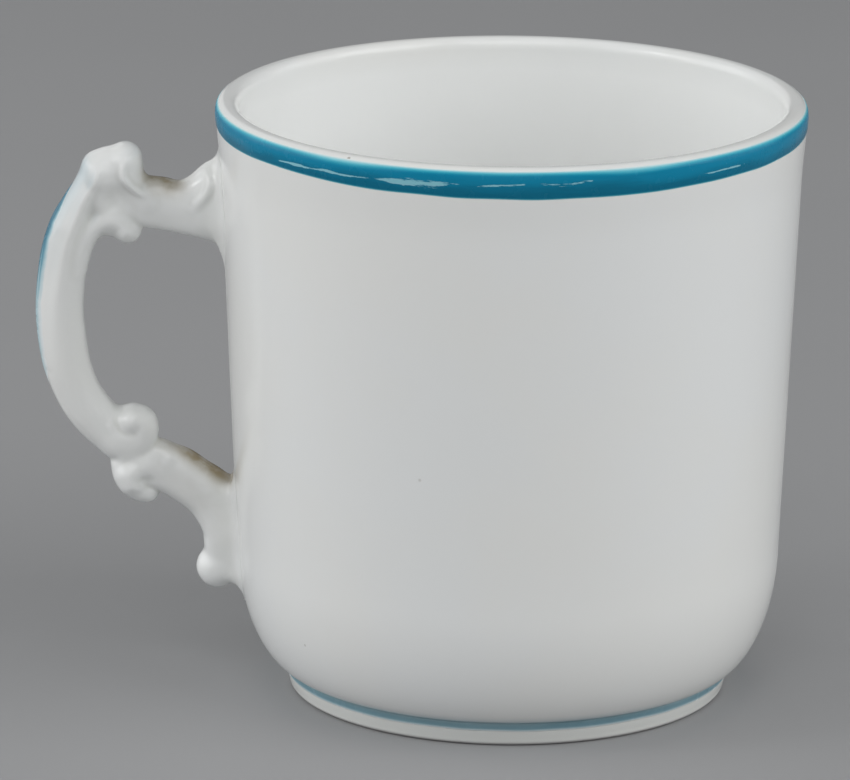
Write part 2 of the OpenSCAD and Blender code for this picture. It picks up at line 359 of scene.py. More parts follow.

# Pooled glaze and painted shade: its share on flat faces and for each unit of hollow bend, and near the
# wall
POOL_SHADE_FLAT = 0.05
POOL_SHADE_BEND = 0.28
POOL_SHADE_MOST = 0.6
POOL_SHADE_ROOT = 0.35
POOL_SHADE_ROOT_RUN = (1.0, 3.0)
POOL_SHADE_START = (0.02, 0.8)

# Teal-grey painted shade over the outer faces above the stroke's middle, as [strength, from height, to
# height]
OUTER_SHADE = [[0.16, 38, 44], [0.2, 43.5, 47]]
OUTER_SHADE_END_Z = (51.0, 53.0)
OUTER_SHADE_OUT = (10.0, 11.5)
OUTER_SHADE_FACING = (0.2, 0.9)

# Stains lie on faces that look up, and not on the near side
STAIN_UP = (-0.1, 0.35)
STAIN_SIDE = (-3.75, -1.25)
# Stains on the handle's upper faces, as [distance out, height, half width, strength]
STAINS = {
    "arm_top": [
        [6, 24.1, 0.9, 0.25], [4, 23.55, 0.75, 0.55], [2.6, 22.8, 0.8, 0.95],
        [1, 21.8, 0.9, 1], [-0.5, 20.8, 1, 1], [-1.9, 20.3, 0.9, 0.7],
    ],
    "strut_top": [
        [6.9, 50.8, 1, 0.6], [5.9, 50, 1.25, 0.95], [5.1, 49.75, 1.3, 1],
        [4.3, 49.55, 1.25, 0.95], [3.6, 49.45, 1.1, 0.65], [2.9, 49.7, 0.8, 0.2],
    ],
}
# A thin brown film with painted shade over the arm's sides, given alike
ARM_FILM_AND_SHADE = [
    [4.6, 20.6, 1.8, 0.08], [2.4, 19.6, 2, 0.14], [0.4, 17.6, 2, 0.14],
    [-0.6, 15, 1.8, 0.06],
]

# Worn streaks of the rim band, as [angle from the front, height share, half height share, strength]
BAND_WEAR = [
    [[-53.6, 0.52, 0.05, 0.3], [-52, 0.53, 0.06, 0.42], [-50.4, 0.54, 0.05, 0.3]],
    [[-49.9, 0.38, 0.03, 0.8], [-46.5, 0.4, 0.05, 0.95],
     [-44.2, 0.4, 0.07, 0.95], [-43.2, 0.36, 0.03, 0.6]],
    [[-43, 0.35, 0.03, 0.8], [-39.5, 0.4, 0.05, 0.9],
     [-36.8, 0.41, 0.05, 0.9], [-34.6, 0.37, 0.03, 0.8]],
    [[-34.6, 0.36, 0.03, 0.7], [-30.5, 0.37, 0.03, 0.7],
     [-27, 0.4, 0.03, 0.65], [-24.6, 0.4, 0.04, 0.75]],
    [[-24.2, 0.4, 0.06, 0.85], [-22, 0.4, 0.11, 1], [-19.2, 0.41, 0.12, 1],
     [-15.2, 0.4, 0.13, 0.95], [-12.4, 0.44, 0.08, 0.8], [-9.6, 0.48, 0.03, 0.5]],
    [[-6.4, 0.43, 0.02, 0.5], [-2, 0.48, 0.04, 0.75], [2.6, 0.52, 0.02, 0.55]],
    [[5.8, 0.54, 0.06, 0.45], [8, 0.51, 0.08, 0.6], [10.4, 0.48, 0.06, 0.45]],
    [[11.6, 0.54, 0.07, 0.55], [13.5, 0.57, 0.09, 0.68], [15.2, 0.58, 0.06, 0.5]],
    [[38.6, 0.36, 0.02, 0.7], [44, 0.37, 0.03, 0.9], [49.2, 0.38, 0.03, 0.9]],
    [[49.6, 0.43, 0.03, 0.8], [50.4, 0.35, 0.03, 0.8]],
    [[110, 0.5, 0.03, 0.6], [118, 0.52, 0.06, 0.8], [128, 0.54, 0.03, 0.6]],
    [[150, 0.46, 0.05, 0.6], [156, 0.5, 0.06, 0.6]],
    [[205, 0.48, 0.03, 0.6], [218, 0.5, 0.08, 0.9], [232, 0.52, 0.03, 0.6]],
    [[251, 0.54, 0.04, 0.6], [258, 0.55, 0.05, 0.6]],
]
# Painted highlights, where the band's upper edge is paled further, as [angle from the front, half width in
# degrees]
BAND_GLINTS = [[-34, 9], [25, 9], [120, 12], [222, 10]]


# Curves and sections

def catmull(points, steps=8):
    """Smooth curve through a list of points, whatever they hold."""
    p = np.array(points, float)
    p = np.vstack([2 * p[0] - p[1], p, 2 * p[-1] - p[-2]])
    rows = []
    for a, b, c, d in zip(p[:-3], p[1:-2], p[2:-1], p[3:]):
        for t in np.linspace(0, 1, steps, endpoint=False):
            cubic = (3 * b - a - 3 * c + d) * t ** 3
            rows.append((2 * b + (c - a) * t + (2 * a - 5 * b + 4 * c - d) * t ** 2 + cubic) / 2)
    rows.append(p[-2])
    return np.array(rows)


def quarter(steps):
    """Angles of a quarter turn, in radians."""
    return np.linspace(0, np.pi / 2, steps)


def smooth_step(value, low, high):
    """0 below low, 1 above high and a smooth step between."""
    share = np.clip((value - low) / (high - low), 0, 1)
    return share * share * (3 - 2 * share)


def signed_power(value, power):
    """A number's size raised to a power, with its sign kept."""
    return np.sign(value) * np.abs(value) ** power


def lip_point(angle):
    """Point of the lip, from its widest at 0 degrees over the top to the inside at 180."""
    a = np.radians(angle)
    radius = LIP_MID_R + LIP_T / 2 * signed_power(np.cos(a), LIP_POWER)
    return np.stack([radius, LIP_Z + LIP_RISE * signed_power(np.sin(a), LIP_POWER)], -1)


def fair_wall():
    """Heights and radii of the cup's outside between the foot and the lip, with no kink."""
    z = np.linspace(FOOT_H, LIP_Z, WALL_POINTS)
    rise = np.clip((z - FOOT_H) / CORNER_H, 0, 1)
    corner = FOOT_R + (WALL_LOW_R - FOOT_R) * (1 - (1 - rise) ** 2) ** (CORNER_POWER / 2)
    straight = WALL_LOW_R + WALL_TAPER * (z - CORNER_Z) / (LIP_Z - CORNER_Z)
    r = np.where(z < CORNER_Z, corner, straight)
    window = np.hanning(FAIR_POINTS)
    padded = np.pad(r, FAIR_POINTS // 2, mode="edge")
    soft = np.convolve(padded, window / window.sum(), mode="valid")
    near_join = np.exp(-((z - CORNER_Z) / FAIR_REACH) ** 4)
    flare = np.clip((z - FLARE_Z) / (LIP_Z - FLARE_Z), 0, 1)
    swell = FLARE_OUT * (1 - np.cos(np.pi * flare)) / 2
    return z, r + near_join * (soft - r) + swell


WALL_HEIGHTS, WALL_RADII = fair_wall()


def wall_radius(z):
    """Radius of the cup's outside at a height."""
    return np.interp(z, WALL_HEIGHTS, WALL_RADII)


def cup_profile():
    """The cup's section as [radius, height], from under the floor's middle to the floor's middle."""
    base = np.linspace(0, FOOT_R, STEPS["base"])[1:-1]
    base_z = FOOT_H + BASE_DOME * np.clip(1 - (base / FOOT_INNER_R) ** 2, 0, 1)
    corner_z = FOOT_H + CORNER_H * (1 - np.cos(quarter(STEPS["corner"])))
    wall_z = np.linspace(CORNER_Z, LIP_Z, STEPS["wall"])[1:-1]
    outside_z = np.concatenate([corner_z, wall_z])
    lip = lip_point(np.linspace(0, 180, STEPS["lip"]))
    a = quarter(STEPS["bore"])[::-1]
    bore_corner = np.stack([
        BORE_R - BORE_CORNER_W * (1 - np.sin(a)),
        FLOOR_Z + (BORE_CORNER_Z - FLOOR_Z) * (1 - np.cos(a)),
    ], -1)
    bore = np.linspace(lip[-1], bore_corner[0], STEPS["bore"])[1:-1]
    floor = np.linspace(bore_corner[-1][0], 0, STEPS["floor"])[1:-1]
    return np.concatenate([
        np.stack([base, base_z], -1),
        np.stack([wall_radius(outside_z), outside_z], -1),
        lip,
        bore,
        bore_corner,
        np.stack([floor, np.full_like(floor, FLOOR_Z)], -1),
    ])


# Meshes

def turned(profile):
    """Rings of points, one for each point of a profile of [radius, height]."""
    angles = np.linspace(0, 2 * np.pi, TURNS, endpoint=False)
    r, z = np.asarray(profile, float).T
    heights = np.repeat(z[:, None], TURNS, 1)
    return np.stack([np.outer(r, np.cos(angles)), np.outer(r, np.sin(angles)), heights], -1)


def ring_faces(rows, columns, rows_close=False):
    """Quads between closed rows of points that are numbered row by row."""
    i, j = np.divmod(np.arange((rows if rows_close else rows - 1) * columns), columns)
    up, on = (i + 1) % rows, (j + 1) % columns
    return np.stack([i * columns + j, i * columns + on, up * columns + on, up * columns + j], -1).tolist()


def new_object(name, data):
    """Object in the scene that shows a mesh, a light or a camera."""
    item = bpy.data.objects.new(name, data)
    bpy.context.scene.collection.objects.link(item)
    return item


def make_piece(name, points, faces, slot, nodes):
    """Smooth mesh from points in millimetres that rides on the cup in place of CAD nodes."""
    mesh = bpy.data.meshes.new(name)
    mesh.from_pydata((np.asarray(points) * MM).tolist(), [], faces)
    work = bmesh.new()
    work.from_mesh(mesh)
    bmesh.ops.recalc_face_normals(work, faces=work.faces)
    work.to_mesh(mesh)
    work.free()
    mesh.shade_smooth()
    mesh.materials.append(MATERIALS[slot])
    piece = new_object(name, mesh)
    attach(piece, "root")
    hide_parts(*nodes)
    return piece


def set_mask(piece, name, values):
    """Give each point of a piece a number that its material reads by name."""
    mask = piece.data.attributes.new(name, "FLOAT", "POINT")
    mask.data.foreach_set("value", np.asarray(values, np.float32).ravel())


def closed_ring(profile):
    """Points and faces of a closed section turned round the axis."""
    rings = turned(profile)
    rows, columns = rings.shape[:2]
    return rings.reshape(-1, 3), ring_faces(rows, columns, rows_close=True)


# The handle's field: distance from its surface, less than 0 inside

U_AXIS = np.arange(*GRID_OUT, VOXEL)
Y_AXIS = np.arange(*GRID_SIDE, VOXEL)
Z_AXIS = np.arange(*GRID_Z, VOXEL)
U, Z = np.meshgrid(U_AXIS, Z_AXIS, indexing="ij")


def along(points, u, z):
    """For places in the handle's plane: distance from a path over its half width, the half width
    and the last number of the path's points."""
    path = catmull(points)
    ratio = np.full(u.shape, np.inf)
    half_w = np.ones(u.shape)
    last = np.ones(u.shape)
    for a, b in zip(path[:-1], path[1:]):
        run = b[:2] - a[:2]
        share = ((u - a[0]) * run[0] + (z - a[1]) * run[1]) / max(run @ run, 1e-9)
        share = np.clip(share, 0, 1)
        w = a[2] + share * (b[2] - a[2])
        near = np.hypot(u - a[0] - share * run[0], z - a[1] - share * run[1]) / w
        closer = near < ratio
        ratio = np.where(closer, near, ratio)
        half_w = np.where(closer, w, half_w)
        last = np.where(closer, a[3] + share * (b[3] - a[3]), last)
    return ratio, half_w, last


def soft_line(points, u, z):
    """The last number of a path's points, dying away softly on either side of the path."""
    ratio, _, last = along(points, u, z)
    return last * np.exp(-ratio ** 2)


def soft_min(a, b, reach=MEMBER_BLEND):
    """Union of two fields with a fillet of about that reach."""
    h = np.clip(0.5 + 0.5 * (b - a) / reach, 0, 1)
    return b + (a - b) * h - reach * h * (1 - h)


def section_field(ratio, half_w, half_t, relief, power):
    """Field of sections whose places across are given over their half width."""
    deep = Y_AXIS[None, :, None] / (half_t * relief)[:, None, :]
    size = np.minimum(half_w, half_t)[:, None, :]
    return (((ratio ** power)[:, None, :] + deep ** power) ** (1 / power) - 1) * size


def member_field(points, relief, power=SQUARE_POWER):
    """Field of a member that is given by its path."""
    ratio, half_w, share_t = along(points, U, Z)
    return section_field(ratio, half_w, share_t * HALF_T, relief, power)


def beam_field(points, relief):
    """Field of a member that is given by its lower and upper edges, with a plain outer end."""
    path = catmull(points)[::-1]
    low, high, share_t = (np.interp(U, path[:, 0], path[:, k]) for k in (1, 2, 3))
    ratio = np.abs(2 * Z - low - high) / (high - low)
    sides = section_field(ratio, (high - low) / 2, share_t * HALF_T, relief, SQUARE_POWER)
    return np.maximum(sides, (U - points[0][0])[:, None, :])


def ball_field(out, height, depth, radius):
    """Field of a ball on each side of the handle's plane."""
    flat = (U - out) ** 2 + (Z - height) ** 2
    deep = (Y_AXIS - depth) ** 2
    return np.sqrt(flat[:, None, :] + deep[None, :, None]) - radius


def blurred(field, passes):
    """Field smoothed over neighbouring places, as a glaze softens a mould's edges."""
    for _ in range(passes):
        for axis in range(3):
            padded = np.pad(field, [(1, 1) if k == axis else (0, 0) for k in range(3)], mode="edge")
            count = field.shape[axis]
            left, middle, right = (padded.take(range(s, s + count), axis) for s in (0, 1, 2))
            field = 0.25 * left + 0.5 * middle + 0.25 * right
    return field


def mirrored(half):
    """Whole field from the half on one side of the handle's plane."""
    return np.concatenate([half[:, :0:-1, :], half], axis=1)


def handle_fields():
    """Fields of the handle, with its feet worked into the wall, and of the beds of slip in its feet."""
    plain = np.ones(U.shape)
    relief = plain + sum(soft_line(points, U, Z) for points in RELIEF.values())
    field = soft_min(member_field(GRIP, relief), beam_field(STRUT, relief))
    for points in (WEB, KNOB_FACE, THUMB_KNOB, KNOB_NECK, VOLUTE_DISC, GRIP_VOLUTE, LOWER_SCROLL, SADDLE):
        field = soft_min(field, member_field(points, relief))
    for points in (HEAD_CORNER, CURL_BOSS):
        field = soft_min(field, member_field(points, relief, ROUND_POWER))
    for points in (INNER_RIB, END_BALL):
        field = soft_min(field, member_field(points, plain, ROUND_POWER))
    field = soft_min(field, member_field(RIB_DROP, plain, ROUND_POWER), DROP_BLEND)
    field = soft_min(field, ball_field(*VOLUTE_EYE), EYE_BLEND)
    radius = np.hypot(RIM_R + U_AXIS[:, None, None], Y_AXIS[None, :, None])
    wall = radius - wall_radius(Z_AXIS)[None, None, :]
    off_plane = smooth_step(Y_AXIS, *SPREAD_SIDE)[None, :, None]
    low_down = (1 - smooth_step(Z_AXIS, *SPREAD_END_Z))[None, None, :]
    reach = WALL_BLEND + SIDE_SPREAD * (off_plane * low_down)
    joined = soft_min(field, wall, reach) + SKIRT_SINK
    joined = np.maximum(joined, -(wall + SKIRT_DEPTH))
    joined = np.maximum(joined, field - reach - SKIRT_PAST)
    beds = np.maximum(field + SLIP_INSET, np.maximum(wall - SLIP_T, -wall - SLIP_SINK))
    softened = blurred(mirrored(joined), GLAZE_PASSES)
    return softened.astype(np.float32), mirrored(beds).astype(np.float32)


class Sampler:
    """Reads a field on the handle's grid at any points given as [out, y, height]."""

    origin = np.array([U_AXIS[0], -Y_AXIS[-1], Z_AXIS[0]])

    def __init__(self, field):
        self.field = field
        self.slopes = np.gradient(field, VOXEL)
        self.bend = sum(np.gradient(s, VOXEL, axis=k) for k, s in enumerate(self.slopes))

    def read(self, grid, points):
        """Value of a grid at points, straight between its places, and held just inside the last of them."""
        place = np.clip((points - self.origin) / VOXEL, 0, np.array(grid.shape) - 1.001)
        low = place.astype(int)
        part = place - low
        total = np.zeros(len(points))
        for corner in np.ndindex(2, 2, 2):
            weight = np.prod(np.where(corner, part, 1 - part), axis=1)
            i, j, k = (low + corner).T
            total += weight * grid[i, j, k]
        return total

    def distance(self, points):
        """Distance of points from the surface."""
        return self.read(self.field, points)

    def slope(self, points):
        """How fast the field grows at points along each of the grid's axes."""
        return np.stack([self.read(s, points) for s in self.slopes], -1)

    def settle(self, points, rounds=3, least_slope=0.05):
        """Points moved onto the surface."""
        for _ in range(rounds):
            slope = self.slope(points)
            size = np.maximum((slope ** 2).sum(1), least_slope)
            points = points - slope * (self.distance(points) / size)[:, None]
        return points


def field_quads(field):
    """Points on a field's surface, as [out, y, height], and the quads between them."""
    grid = openvdb.FloatGrid(1.0)
    grid.copyFromArray(np.ascontiguousarray(field))
    places, quads = grid.convertToQuads(isovalue=0.0)
    return Sampler.origin + places * VOXEL, quads.tolist()


def to_frame(points):
    """[out, y, height] of the handle's grid as x, y, z in the cup's frame."""
    return np.stack([-(RIM_R + points[:, 0]), points[:, 1], points[:, 2]], -1)


# Materials

WHITE = (0.875, 0.89, 0.885, 1)
WHITE_WARM = (0.88, 0.886, 0.866, 1)
# Painted light: a paler white for the cup's inside walls
INSIDE_PAINTED_LIGHT = (0.925, 0.935, 0.925, 1)
# Grey of pooled glaze and painted shade, also the darker mottle of the slip
POOLED_AND_SHADE_GREY = (0.7, 0.715, 0.68, 1)
BROWN = (0.28, 0.225, 0.13, 1)
BISQUE = (0.66, 0.62, 0.55, 1)
# Dark grey of dust with painted contact shadow at the foot's lower edge
DUST_AND_SHADOW = (0.36, 0.35, 0.36, 1)
SPECK = (0.3, 0.27, 0.22, 1)
TEAL = (0.006, 0.27, 0.458, 1)
TEAL_DARK = (0.005, 0.178, 0.301, 1)
# Teal-grey for painted shade above the foot line and on the handle's outer faces
TEAL_SHADE_GREY = (0.12, 0.32, 0.42, 1)
LINE_TEAL = (0.21, 0.36, 0.43, 1)
WORN = (0.34, 0.7, 0.8, 1)
SLIP = (0.8, 0.8, 0.77, 1)
FLOOR_GREY = (0.365, 0.367, 0.374, 1)
FLOOR_SHADE = 0.965

# Worn enamel, by the strength of its streaks: their start, their ragged edge and its dark rim
WEAR_START = (0.04, 0.2)
WEAR_EDGE = (0.35, 0.6)
WEAR_RIM = (0.2, 0.35, 0.5)
WORN_SHARE = 0.9

# Small dark specks in the glaze, as x, y, z, radius and strength, and the share of them that is full
SPECKS = [
    [-8.2, -25.3, 27.2, 0.22, 0.3], [-19, -16.6, 8.4, 0.2, 0.35], [-14.9, -23.3, 57.3, 0.24, 0.7],
    [8, 25.2, 24, 0.2, 0.4], [21, 15.6, 38, 0.18, 0.35], [3, -7, 5, 0.22, 0.4],
]
SPECK_CORE = 0.3


class Shading:
    """A new material, with short calls for the nodes that the materials here are made of."""

    def __init__(self, name):
        self.material = bpy.data.materials.new(name)
        self.material.use_nodes = True
        self.tree = self.material.node_tree
        self.shader = self.tree.nodes["Principled BSDF"]
        self.place = self.add("ShaderNodeTexCoord").outputs["Object"]

    def set_input(self, node, key, value):
        """Set a node's input to a value, or link it to the output of another node."""
        if isinstance(value, bpy.types.NodeSocket):
            self.tree.links.new(value, node.inputs[key])
        else:
            node.inputs[key].default_value = value

    def add(self, kind, inputs=None, **settings):
        """Add a node with its inputs and settings."""
        node = self.tree.nodes.new(kind)
        for key, value in settings.items():
            setattr(node, key, value)
        for key, value in (inputs or {}).items():
            self.set_input(node, key, value)
        return node

    def noise(self, scale, detail=3, roughness=0.5, place=None):
        """Cloudy noise over the cup's own places, unless others are given."""
        settings = {"Vector": place or self.place, "Scale": scale, "Detail": detail, "Roughness": roughness}
        return self.add("ShaderNodeTexNoise", settings).outputs["Fac"]

    def span(self, value, low, high, to_low=0.0, to_high=1.0):
        """A value's stretch from low to high, as a smooth step from one number to another."""
        settings = {"Value": value, "From Min": low, "From Max": high, "To Min": to_low, "To Max": to_high}
        return self.add("ShaderNodeMapRange", settings, interpolation_type="SMOOTHSTEP").outputs["Result"]

    def math(self, operation, a, b):
        return self.add("ShaderNodeMath", {0: a, 1: b}, operation=operation).outputs[0]

    def vector_math(self, operation, a, b, output):
        return self.add("ShaderNodeVectorMath", {0: a, 1: b}, operation=operation).outputs[output]

    def mix(self, share, a, b, blend_type="MIX"):
        """Colour between a and b, or b laid over a in another way."""
        settings = {"data_type": "RGBA", "blend_type": blend_type}
        return self.add("ShaderNodeMix", {0: share, 6: a, 7: b}, **settings).outputs[2]

    def mask(self, name):
        """The number that each point of a piece was given by set_mask."""
        return self.add("ShaderNodeAttribute", attribute_name=name).outputs["Fac"]

    def feed(self, name, value):
        """Set one of the shader's inputs, or link it."""
        self.set_input(self.shader, name, value)

    def bump(self, height, strength, distance):
        settings = {"Height": height, "Strength": strength, "Distance": distance}
        self.feed("Normal", self.add("ShaderNodeBump", settings).outputs["Normal"])


def make_porcelain():
    """White porcelain under a clear glaze, with masks for painted light on the inside, pooled glaze with
    painted shade, teal-grey painted shade, stains and the arm's painted shade, bare clay, and dust with
    painted contact shadow."""
    m = Shading("porcelain_glaze")
    colour = m.mix(m.span(m.noise(scale=38), 0.35, 0.65), WHITE, WHITE_WARM)
    # Painted light: the inside walls are painted paler
    colour = m.mix(m.mask("inside"), colour, INSIDE_PAINTED_LIGHT)
    # Pooled glaze and painted shade: in the handle's hollows and at its roots, and over the foot
    colour = m.mix(m.mask("pool_and_shade"), colour, POOLED_AND_SHADE_GREY)
    # Painted shade in teal-grey, above the foot line and on the handle's outer faces
    colour = m.mix(m.mask("teal_shade"), colour, TEAL_SHADE_GREY)
    grime = m.span(m.noise(scale=600), 0.25, 0.6, 0.65, 1.0)
    # Brown stains, and a brown film with painted shade over the arm
    colour = m.mix(m.math("MULTIPLY", m.mask("stain_and_shade"), grime), colour, BROWN)
    for x, y, z, radius, strength in SPECKS:
        away = m.vector_math("DISTANCE", m.place, (x * MM, y * MM, z * MM), "Value")
        colour = m.mix(m.span(away, SPECK_CORE * radius * MM, radius * MM, strength, 0.0), colour, SPECK)
    bare = m.mask("bare")
    colour = m.mix(bare, colour, BISQUE)
    # Dust with painted contact shadow along the foot's lower edge
    colour = m.mix(m.mask("dust_and_contact_shadow"), colour, DUST_AND_SHADOW)
    gloss = m.span(m.noise(scale=140), 0.3, 0.7, 0.13, 0.19)
    m.feed("Base Color", colour)
    m.feed("Roughness", m.math("MAXIMUM", gloss, m.math("MULTIPLY", bare, 0.75)))
    m.feed("IOR", 1.5)
    m.feed("Specular IOR Level", 0.42)
    m.bump(m.noise(scale=420, detail=2), strength=0.05, distance=0.00012)
    return m.material


def make_enamel():
    """Brushed teal enamel over white, a clear colour that pales as it thins, with masks for light and dark
    enamel (painted shade on the rim band's lower half, brushed tone on the line), worn streaks, a greyer
    line and thin edges, which also carry the band's painted highlights."""
    m = Shading("teal_enamel")
    stretch = m.vector_math("MULTIPLY", m.place, (1, 1, 9), "Vector")
    brush = m.span(m.noise(scale=150, roughness=0.6, place=stretch), 0.25, 0.75, -0.25, 0.25)
    light = m.math("ADD", m.mask("light"), brush)
    # Painted shade: the light mask darkens the rim band's lower half, and the noise is brushing
    colour = m.mix(m.span(light, 0.0, 1.0), TEAL_DARK, TEAL)
    wear = m.mask("wear")
    scratches = m.span(m.noise(scale=420, detail=4, roughness=0.7, place=stretch), 0.25, 0.75, -0.5, 0.5)
    ragged = m.math("ADD", wear, scratches)
    worn = m.math("MULTIPLY", m.span(ragged, *WEAR_EDGE), m.span(wear, *WEAR_START))
    colour = m.mix(m.math("MULTIPLY", worn, WORN_SHARE), colour, WORN)
    rim = m.math("MULTIPLY", m.span(ragged, *WEAR_RIM[:2]), m.span(ragged, *WEAR_RIM[1:], 1.0, 0.0))
    rim = m.math("MULTIPLY", rim, m.span(wear, *WEAR_START, 0.0, 0.5))
    colour = m.mix(rim, colour, TEAL_DARK)
    colour = m.mix(m.mask("grey"), colour, LINE_TEAL)
    thickness = m.math("SUBTRACT", 1.0, m.mask("fade"))
    colour = m.add("ShaderNodeGamma", {"Color": colour, "Gamma": thickness}).outputs["Color"]
    gloss = m.span(m.noise(scale=600), 0.3, 0.7, 0.18, 0.3)
    m.feed("Base Color", m.mix(1.0, colour, WHITE, "MULTIPLY"))
    m.feed("Roughness", m.math("ADD", gloss, m.math("MULTIPLY", worn, 0.2)))
    m.feed("IOR", 1.5)
    m.feed("Specular IOR Level", 0.14)
    m.bump(m.noise(scale=900), strength=0.1, distance=0.00008)
    return m.material


def make_slip():
    """Fired clay slip, a little greyer and duller than the glaze."""
    m = Shading("fired_slip")
    m.feed("Base Color", m.mix(m.span(m.noise(scale=500, detail=4), 0.3, 0.7), SLIP, POOLED_AND_SHADE_GREY))
    m.feed("Roughness", m.span(m.noise(scale=700, detail=2), 0.3, 0.7, 0.3, 0.45))
    m.bump(m.noise(scale=1200), strength=0.15, distance=0.00008)
    return m.material


def make_floor():
    """Matt pale grey studio paper."""
    m = Shading("studio_paper")
    darker = tuple(FLOOR_SHADE * c for c in FLOOR_GREY[:3]) + (1,)
    m.feed("Base Color", m.mix(m.span(m.noise(scale=9, detail=2), 0.3, 0.7), FLOOR_GREY, darker))
    m.feed("Roughness", 0.85)
    return m.material


# Materials by the record's slots
MATERIALS = {"porcelain": make_porcelain(), "teal_enamel": make_enamel(), "clay_slip": make_slip()}


# Pieces

def build_body():
    """The cup itself, from the dome under its floor over the lip to the floor inside."""
    rings = turned(cup_profile())
    rows, columns = rings.shape[:2]
    under = [[0, 0, FOOT_H + BASE_DOME]]
    inside = [[0, 0, FLOOR_Z]]
    points = np.concatenate([rings.reshape(-1, 3), under, inside])
    faces = ring_faces(rows, columns)
    first, last = rows * columns, rows * columns + 1
    top = (rows - 1) * columns
    for j in range(columns):
        on = (j + 1) % columns
        faces.append([j, on, first])
        faces.append([top + j, top + on, last])
    piece = make_piece("glazed_body", points, faces, "porcelain", ["cup_body"])
    radius = np.hypot(points[:, 0], points[:, 1])
    height = points[:, 2]
    # Painted shade in teal-grey, run up the body from the foot line
    near_line = np.clip(1 - (height - FOOT_H) / TEAL_SHADE_H, 0, 1) ** TEAL_SHADE_POWER
    set_mask(piece, "teal_shade", TEAL_SHADE_STRENGTH * near_line * (radius > FOOT_R - EDGE_ROOM))
    # Painted light on the inside walls, below the lip and above the floor
    within = np.clip((wall_radius(height) - LIP_T / 2 - radius) / INSIDE_DEPTH, 0, 1)
    below_lip = 1 - smooth_step(height, *INSIDE_END_Z)
    set_mask(piece, "inside", within * below_lip * (height > FLOOR_Z - EDGE_ROOM))


def build_foot():
    """The foot ring, drawn in below the enamel line, rounded at its edges and bare where it stands."""
    a = quarter(STEPS["edge"])
    top = FOOT_H - SLIP_T
    outer = np.stack([FOOT_LOW_R - FOOT_EDGE * (1 - np.sin(a)), FOOT_EDGE * (1 - np.cos(a))], -1)
    inner_z = FOOT_INNER_EDGE * (1 - np.cos(a))
    inner = np.stack([FOOT_INNER_R + FOOT_INNER_EDGE * (1 - np.sin(a)), inner_z], -1)
    outer_z = np.linspace(FOOT_EDGE, LINE_Z, STEPS["edge"])[1:]
    outer_share = (outer_z - FOOT_EDGE) / (LINE_Z - FOOT_EDGE)
    outer_wall = np.stack([FOOT_LOW_R + FOOT_TAPER * np.sin(np.pi / 2 * outer_share), outer_z], -1)
    ring_top = np.linspace([FOOT_R, top], [FOOT_INNER_R, top], STEPS["foot_top"])[:-1]
    inner_wall = np.linspace([FOOT_INNER_R, top], [FOOT_INNER_R, FOOT_INNER_EDGE], STEPS["foot_inside"])
    flat = np.linspace(inner[0], outer[0], STEPS["foot_flat"])[1:-1]
    profile = np.concatenate([outer, outer_wall, ring_top, inner_wall, inner[::-1][1:], flat])
    points, faces = closed_ring(profile)
    piece = make_piece("glazed_foot", points, faces, "porcelain", ["foot_ring"])
    radius = np.hypot(points[:, 0], points[:, 1])
    height = points[:, 2]
    flat_r = outer[0][0]
    at_edge = smooth_step(radius, flat_r - DUST_SHADOW_W, flat_r)
    set_mask(piece, "bare", np.interp(height, BARE_END_Z, (1, 0)))
    # Dust with painted contact shadow along the foot's lower outer edge
    set_mask(piece, "dust_and_contact_shadow", DUST_SHADOW_STRENGTH * np.interp(height, DUST_SHADOW_END_Z, (1, 0)) * at_edge)
    # Painted shade over the whole foot ring
    set_mask(piece, "pool_and_shade", np.full(len(points), FOOT_PAINTED_SHADE))


def build_foot_slip():
    """The bed of slip on the foot ring, drawn into a fillet on its inner side."""
    a = quarter(STEPS["edge"])
    top = FOOT_H + SLIP_PLAY
    bottom = FOOT_H - SLIP_T
    lap_r = FOOT_INNER_R + SLIP_LAP
    outer_r = FOOT_R - SLIP_PLAY
    cove = np.stack([
        FOOT_INNER_R - SLIP_FILLET * (1 - np.sin(a)),
        top - SLIP_FILLET * (1 - np.cos(a)),
    ], -1)
    hidden = [
        [lap_r, top - SLIP_FILLET], [lap_r, bottom], [outer_r, bottom],
        [outer_r, top], [lap_r, top + SLIP_LAP], [FOOT_INNER_R - SLIP_FILLET, top + SLIP_LAP],
    ]
    points, faces = closed_ring(np.concatenate([cove, hidden]))
    make_piece("slip_fillet", points, faces, "clay_slip", ["foot_slip"])


def run_out(piece, points):
    """Turn a skin's normals to the wall's where it runs out onto the wall, so that no edge shows there."""
    normals = np.empty(points.size)
    piece.data.vertex_normals.foreach_get("vector", normals)
    normals = normals.reshape(-1, 3)
    radius = np.hypot(points[:, 0], points[:, 1])
    lean = np.interp(points[:, 2], WALL_HEIGHTS, np.gradient(WALL_RADII, WALL_HEIGHTS))
    wall = np.stack([points[:, 0] / radius, points[:, 1] / radius, -lean], -1)
    wall /= np.linalg.norm(wall, axis=1)[:, None]
    share = smooth_step(radius - wall_radius(points[:, 2]), 0.0, RUN_OUT)[:, None]
    piece.data.normals_split_custom_set_from_vertices(wall + share * (normals - wall))


def pooled_glaze_and_shade(sampler, spots):
    """Share of pooled glaze and painted shade on the handle: in its hollows and at its roots, but none at
    the wall.
    """
    off_wall = np.hypot(RIM_R + spots[:, 0], spots[:, 1]) - wall_radius(spots[:, 2])
    in_hollows = np.clip(POOL_SHADE_FLAT - POOL_SHADE_BEND * sampler.read(sampler.bend, spots), 0, POOL_SHADE_MOST)
    at_roots = POOL_SHADE_ROOT * (1 - smooth_step(off_wall, *POOL_SHADE_ROOT_RUN))
    return np.maximum(in_hollows, at_roots) * smooth_step(off_wall, *POOL_SHADE_START)


